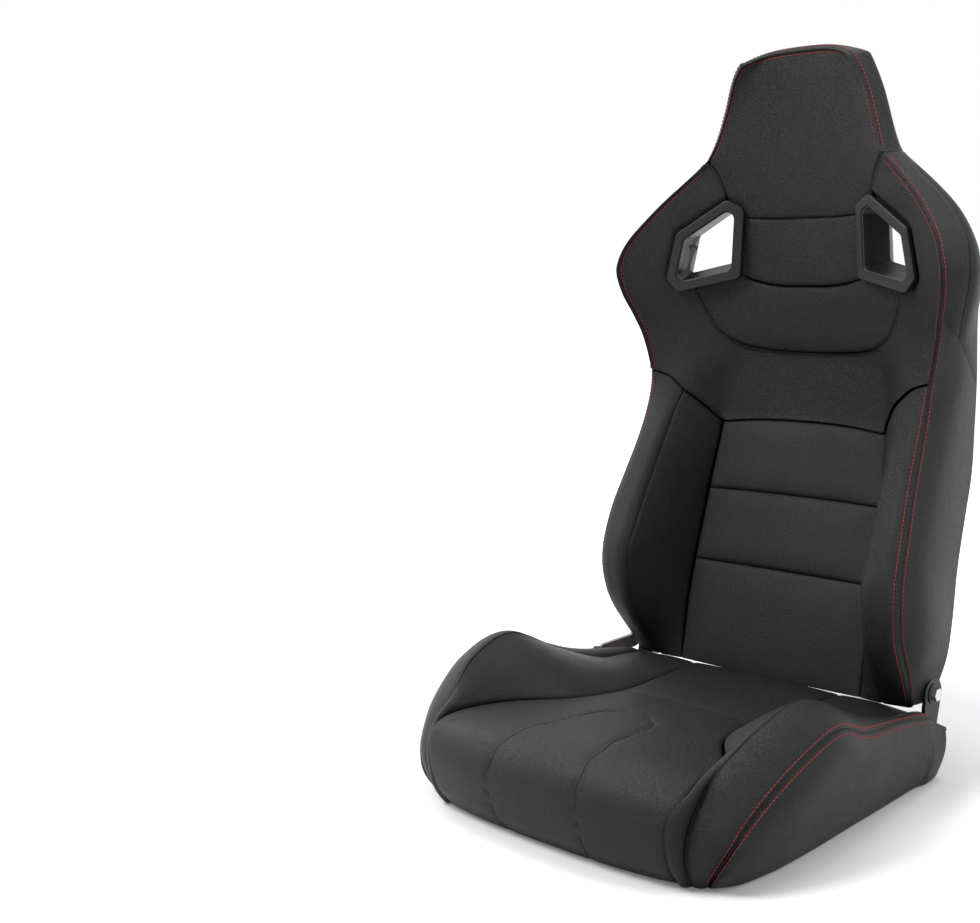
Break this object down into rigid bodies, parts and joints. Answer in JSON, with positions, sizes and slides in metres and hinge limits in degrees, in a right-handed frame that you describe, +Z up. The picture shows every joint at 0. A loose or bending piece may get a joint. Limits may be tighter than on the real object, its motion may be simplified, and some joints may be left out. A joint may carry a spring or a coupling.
{
  "type": "racing seat",
  "caption": "Reclining racing bucket seat with deep bolsters, a pleated insert, harness tunnels, a recliner with a release lever, and a steel floor frame.",
  "frame": {"origin": "middle of the seat's box, on the floor plane that the frame's rails stand on", "axes": "+Z up, the seat faces -Y, +X is the sitter's left, and the backrest reclines about a line along X"},
  "size_m": [0.5576, 0.6253, 0.9249],
  "materials": {
    "leather": "satin",
    "leather_insert": "satin",
    "plastic": "satin",
    "black_steel": "satin",
    "grey_steel": "satin",
    "bright_steel": "satin",
    "lining": "matte"
  },
  "bodies": {
    "base": {"base_frame": "black_steel", "seat_springs": "bright_steel", "dust_cover": "lining", "seat_cushion": "leather", "seat_bolster_left": "leather", "seat_bolster_right": "leather", "seat_side_left": "leather", "seat_side_right": "leather", "seat_rear_panel": "leather", "hinge_bracket_left": "black_steel", "hinge_bracket_right": "black_steel", "bracket_bolts": "bright_steel", "pivot_bolt": "bright_steel", "pivot_bush": "bright_steel", "pivot_washer": "black_steel", "pivot_nut": "bright_steel", "recliner_housing": "black_steel", "lever_spring": "bright_steel"},
    "backrest": {"recliner_hub": "bright_steel", "back_frame": "black_steel", "hinge_arm_left": "black_steel", "hinge_arm_right": "black_steel", "suspension_mat": "lining", "mat_hooks": "bright_steel", "headrest_pad": "leather", "neck_pad": "leather", "yoke_pad": "leather", "upper_back_pad": "leather", "insert_pad_upper": "leather_insert", "insert_pad_middle": "leather_insert", "insert_pad_lower": "leather_insert", "inner_bolster_left": "leather", "inner_bolster_right": "leather", "back_bolster_left": "leather", "back_bolster_right": "leather", "back_side_left": "leather", "back_side_right": "leather", "head_band": "leather", "back_cover": "leather", "harness_bezel_left": "plastic", "harness_bezel_right": "plastic", "rear_bezel_left": "plastic", "rear_bezel_right": "plastic"},
    "lever": {"recliner_cam": "bright_steel", "release_lever": "grey_steel", "lever_grip": "plastic", "lever_screw": "bright_steel"},
    "pawl_upper": {"recliner_pawl_upper": "bright_steel"},
    "pawl_lower": {"recliner_pawl_lower": "bright_steel"}
  },
  "joints": [
    {"name": "backrest_recline", "type": "hinge", "parent": "base", "child": "backrest", "pos_m": [0, 0.182, 0.113], "axis": [-1, 0, 0], "range_deg": [-20, 65]},
    {"name": "lever_lift", "type": "hinge", "parent": "base", "child": "lever", "pos_m": [0, 0.182, 0.113], "axis": [-1, 0, 0], "range_deg": [0, 25], "stiffness_Nm_per_rad": 1.5},
    {"name": "pawl_upper_slide", "type": "slide", "parent": "base", "child": "pawl_upper", "axis": [0, 0, -1], "range_m": [0, 0.0006]},
    {"name": "pawl_lower_slide", "type": "slide", "parent": "base", "child": "pawl_lower", "axis": [0, 0, 1], "range_m": [0, 0.0006]}
  ],
  "couplings": [
    {"joint": "pawl_upper_slide", "follows": "lever_lift", "m_per_rad": 0.001375},
    {"joint": "pawl_lower_slide", "follows": "lever_lift", "m_per_rad": 0.001375}
  ]
}
